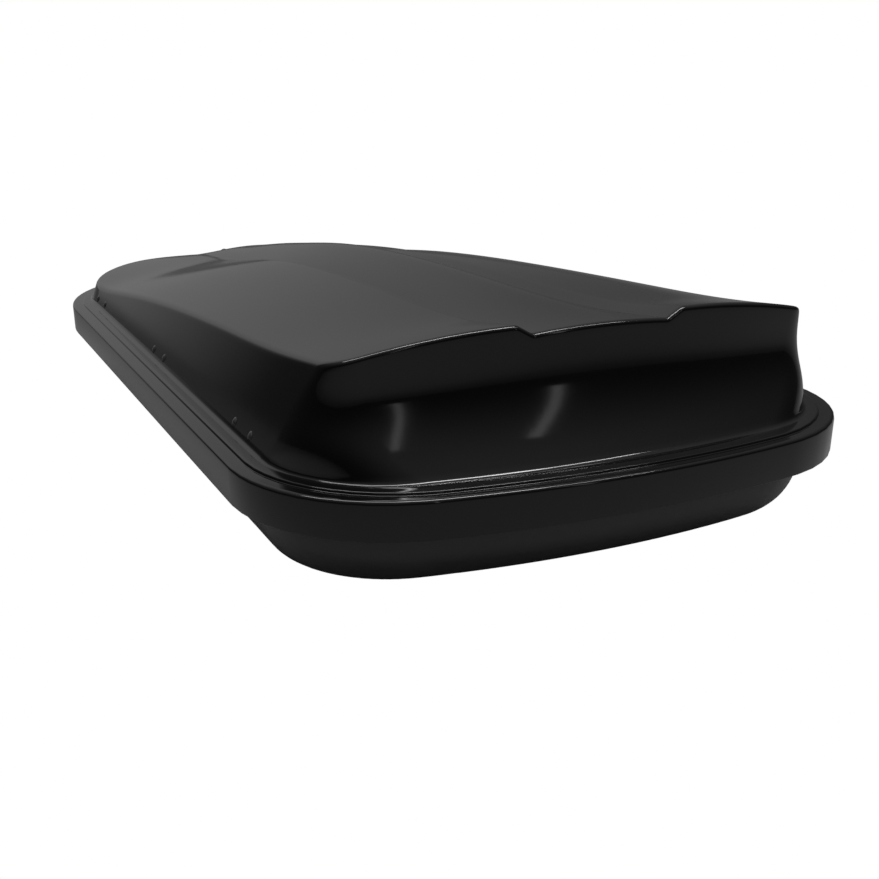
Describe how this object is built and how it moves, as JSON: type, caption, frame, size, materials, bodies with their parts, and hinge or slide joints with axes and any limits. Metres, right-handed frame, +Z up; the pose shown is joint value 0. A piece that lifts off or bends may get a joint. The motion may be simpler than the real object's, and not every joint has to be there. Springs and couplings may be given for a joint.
{
  "type": "roof cargo box",
  "caption": "Low-profile gloss black roof cargo box with a side-hinged ribbed lid, matte base tub, gas struts, a sliding-bar lock and U-bolt crossbar clamps.",
  "frame": {"origin": "below the middle of the box, level with the undersides of the U-bolt sleeves", "axes": "+X towards the low nose, +Y towards the left side where the lid is hinged, +Z up"},
  "size_m": [1.6997, 0.872, 0.3686],
  "materials": {
    "gloss_black": "high-gloss black vacuum-formed sheet",
    "grain_black": "fine-grained black sheet",
    "black_rubber": "soft extruded rubber",
    "black_plastic": "moulded, lightly textured",
    "zinc_steel": "zinc plated",
    "black_steel": "black coated steel",
    "chrome_rod": "ground and plated",
    "rivet_black": "black domed head",
    "webbing": "woven polyester webbing"
  },
  "bodies": {
    "base": {"base_hinge_leaves": "zinc_steel", "base_hinge_rivets": "zinc_steel", "base_shell": "grain_black", "front_strap": "webbing", "hinge_pins": "zinc_steel", "left_rail": "zinc_steel", "lock_bar_guides": "black_plastic", "lock_housing": "black_plastic", "lock_nut": "black_plastic", "rear_strap": "webbing", "right_rail": "zinc_steel", "rim_seal": "black_rubber", "strap_anchors": "black_plastic", "strap_buckles": "black_plastic", "strut_base_brackets": "zinc_steel"},
    "lid": {"lid_shell": "gloss_black", "lid_hinge_leaves": "zinc_steel", "lid_hinge_rivets": "rivet_black", "lid_catches": "black_plastic", "lid_catch_rivets": "rivet_black", "nose_plate": "zinc_steel", "nose_rivets": "rivet_black", "strut_lid_brackets": "zinc_steel"},
    "lock_bar": {"lock_bar": "zinc_steel", "latch_hooks": "zinc_steel"},
    "lock_barrel": {"lock_barrel": "zinc_steel", "lock_cam": "zinc_steel"},
    "rear_strut_cylinder": {"rear_strut_cylinder": "black_steel"},
    "rear_strut_rod": {"rear_strut_rod": "chrome_rod"},
    "front_strut_cylinder": {"front_strut_cylinder": "black_steel"},
    "front_strut_rod": {"front_strut_rod": "chrome_rod"},
    "rear_left_clamp": {"rear_left_ubolt": "zinc_steel", "rear_left_ubolt_sleeve": "black_plastic", "rear_left_clamp_plate": "zinc_steel"},
    "rear_left_knob_rear": {"rear_left_knob_rear": "black_plastic"},
    "rear_left_knob_front": {"rear_left_knob_front": "black_plastic"},
    "rear_right_clamp": {"rear_right_ubolt": "zinc_steel", "rear_right_ubolt_sleeve": "black_plastic", "rear_right_clamp_plate": "zinc_steel"},
    "rear_right_knob_rear": {"rear_right_knob_rear": "black_plastic"},
    "rear_right_knob_front": {"rear_right_knob_front": "black_plastic"},
    "front_left_clamp": {"front_left_ubolt": "zinc_steel", "front_left_ubolt_sleeve": "black_plastic", "front_left_clamp_plate": "zinc_steel"},
    "front_left_knob_rear": {"front_left_knob_rear": "black_plastic"},
    "front_left_knob_front": {"front_left_knob_front": "black_plastic"},
    "front_right_clamp": {"front_right_ubolt": "zinc_steel", "front_right_ubolt_sleeve": "black_plastic", "front_right_clamp_plate": "zinc_steel"},
    "front_right_knob_rear": {"front_right_knob_rear": "black_plastic"},
    "front_right_knob_front": {"front_right_knob_front": "black_plastic"}
  },
  "joints": [
    {"name": "lid_hinge", "type": "hinge", "parent": "base", "child": "lid", "pos_m": [0, 0.422, 0.157], "axis": [-1, 0, 0], "range_deg": [0, 55]},
    {"name": "rear_strut_pivot", "type": "hinge", "parent": "base", "child": "rear_strut_cylinder", "pos_m": [-0.56, 0.372, 0.139], "axis": [-1, 0, 0], "range_deg": [0, 58.99]},
    {"name": "rear_strut_slide", "type": "slide", "parent": "rear_strut_cylinder", "child": "rear_strut_rod", "axis": [0, -0.952, 0.306], "range_m": [0, 0.04565]},
    {"name": "front_strut_pivot", "type": "hinge", "parent": "base", "child": "front_strut_cylinder", "pos_m": [0.425, 0.372, 0.139], "axis": [-1, 0, 0], "range_deg": [0, 58.99]},
    {"name": "front_strut_slide", "type": "slide", "parent": "front_strut_cylinder", "child": "front_strut_rod", "axis": [0, -0.952, 0.306], "range_m": [0, 0.04565]},
    {"name": "lock_bar_slide", "type": "slide", "parent": "base", "child": "lock_bar", "axis": [1, 0, 0], "range_m": [0, 0.018]},
    {"name": "lock_turn", "type": "hinge", "parent": "base", "child": "lock_barrel", "pos_m": [0, -0.4, 0.131], "axis": [0, 1, 0], "range_deg": [0, 90]},
    {"name": "rear_left_clamp_slide", "type": "slide", "parent": "base", "child": "rear_left_clamp", "axis": [1, 0, 0], "range_m": [-0.13, 0.03]},
    {"name": "rear_left_knob_rear_turn", "type": "hinge", "parent": "rear_left_clamp", "child": "rear_left_knob_rear", "pos_m": [-0.32, 0.25, 0.09], "axis": [0, 0, 1], "continuous": true},
    {"name": "rear_left_knob_front_turn", "type": "hinge", "parent": "rear_left_clamp", "child": "rear_left_knob_front", "pos_m": [-0.24, 0.25, 0.09], "axis": [0, 0, 1], "continuous": true},
    {"name": "rear_right_clamp_slide", "type": "slide", "parent": "base", "child": "rear_right_clamp", "axis": [1, 0, 0], "range_m": [-0.13, 0.03]},
    {"name": "rear_right_knob_rear_turn", "type": "hinge", "parent": "rear_right_clamp", "child": "rear_right_knob_rear", "pos_m": [-0.32, -0.25, 0.09], "axis": [0, 0, 1], "continuous": true},
    {"name": "rear_right_knob_front_turn", "type": "hinge", "parent": "rear_right_clamp", "child": "rear_right_knob_front", "pos_m": [-0.24, -0.25, 0.09], "axis": [0, 0, 1], "continuous": true},
    {"name": "front_left_clamp_slide", "type": "slide", "parent": "base", "child": "front_left_clamp", "axis": [1, 0, 0], "range_m": [-0.03, 0.13]},
    {"name": "front_left_knob_rear_turn", "type": "hinge", "parent": "front_left_clamp", "child": "front_left_knob_rear", "pos_m": [0.24, 0.25, 0.09], "axis": [0, 0, 1], "continuous": true},
    {"name": "front_left_knob_front_turn", "type": "hinge", "parent": "front_left_clamp", "child": "front_left_knob_front", "pos_m": [0.32, 0.25, 0.09], "axis": [0, 0, 1], "continuous": true},
    {"name": "front_right_clamp_slide", "type": "slide", "parent": "base", "child": "front_right_clamp", "axis": [1, 0, 0], "range_m": [-0.03, 0.13]},
    {"name": "front_right_knob_rear_turn", "type": "hinge", "parent": "front_right_clamp", "child": "front_right_knob_rear", "pos_m": [0.24, -0.25, 0.09], "axis": [0, 0, 1], "continuous": true},
    {"name": "front_right_knob_front_turn", "type": "hinge", "parent": "front_right_clamp", "child": "front_right_knob_front", "pos_m": [0.32, -0.25, 0.09], "axis": [0, 0, 1], "continuous": true}
  ],
  "couplings": [
    {"joint": "rear_strut_pivot", "follows": "lid_hinge", "ratio": 1.0634},
    {"joint": "rear_strut_slide", "follows": "lid_hinge", "m_per_rad": 0.047034},
    {"joint": "front_strut_pivot", "follows": "lid_hinge", "ratio": 1.0634},
    {"joint": "front_strut_slide", "follows": "lid_hinge", "m_per_rad": 0.047034},
    {"joint": "lock_turn", "follows": "lock_bar_slide", "rad_per_m": 87.266}
  ]
}
